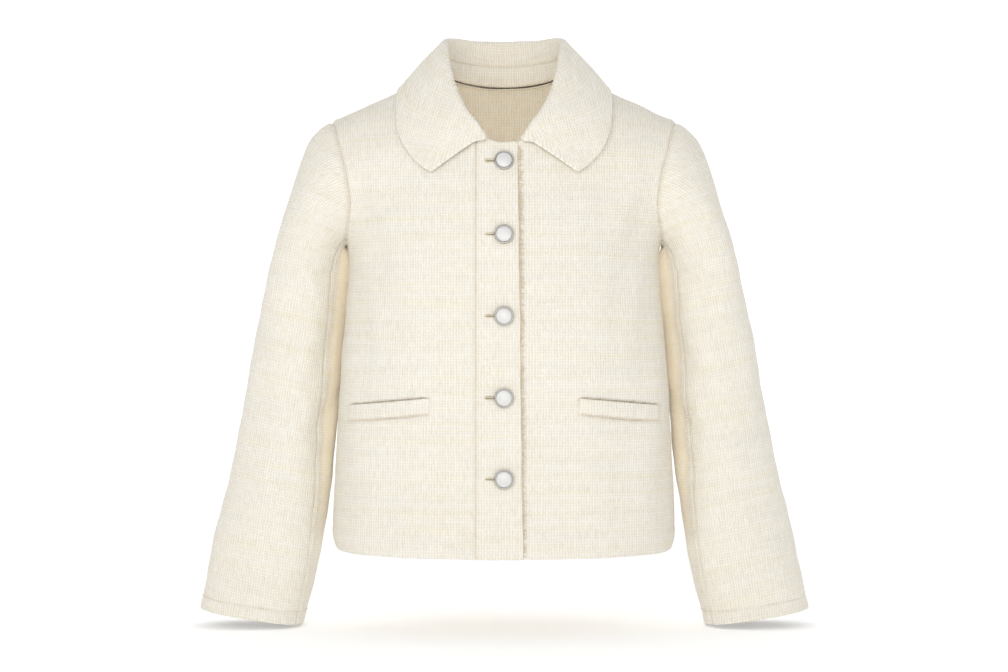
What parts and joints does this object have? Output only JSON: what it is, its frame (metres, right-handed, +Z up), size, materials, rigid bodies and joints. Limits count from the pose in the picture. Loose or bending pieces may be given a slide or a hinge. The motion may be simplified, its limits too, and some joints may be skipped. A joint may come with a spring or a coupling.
{
  "type": "cropped tweed jacket",
  "caption": "Cropped buttoned tweed jacket with a pointed turn-down collar, long set-in sleeves and welt pockets, filled out with no wearer.",
  "frame": {"origin": "middle of the neck, level with the high points of the shoulders", "axes": "+Z up, -Y out of the jacket's front, +X towards the wearer's left"},
  "size_m": [0.6804, 0.2438, 0.6594],
  "materials": {
    "back": "nubbly tweed",
    "front_right": "nubbly tweed",
    "front_left": "nubbly tweed",
    "front_band": "nubbly tweed",
    "front_fringe": "frayed yarn",
    "sleeve_top_right": "nubbly tweed",
    "sleeve_top_left": "nubbly tweed",
    "sleeve_under_right": "nubbly tweed",
    "sleeve_under_left": "nubbly tweed",
    "collar_stand": "nubbly tweed",
    "collar_leaf": "nubbly tweed",
    "pocket_welt_right": "nubbly tweed",
    "pocket_welt_left": "nubbly tweed",
    "button_rim_1": "polished",
    "button_rim_2": "polished",
    "button_rim_3": "polished",
    "button_rim_4": "polished",
    "button_rim_5": "polished",
    "button_cap_1": "pearly gloss",
    "button_cap_2": "pearly gloss",
    "button_cap_3": "pearly gloss",
    "button_cap_4": "pearly gloss",
    "button_cap_5": "pearly gloss"
  },
  "bodies": {
    "root": {"back": "back", "front_right": "front_right", "front_left": "front_left", "front_band": "front_band", "front_fringe": "front_fringe", "sleeve_top_right": "sleeve_top_right", "sleeve_top_left": "sleeve_top_left", "sleeve_under_right": "sleeve_under_right", "sleeve_under_left": "sleeve_under_left", "collar_stand": "collar_stand", "collar_leaf": "collar_leaf", "pocket_welt_right": "pocket_welt_right", "pocket_welt_left": "pocket_welt_left", "button_rim_1": "button_rim_1", "button_rim_2": "button_rim_2", "button_rim_3": "button_rim_3", "button_rim_4": "button_rim_4", "button_rim_5": "button_rim_5", "button_cap_1": "button_cap_1", "button_cap_2": "button_cap_2", "button_cap_3": "button_cap_3", "button_cap_4": "button_cap_4", "button_cap_5": "button_cap_5"}
  },
  "joints": []
}
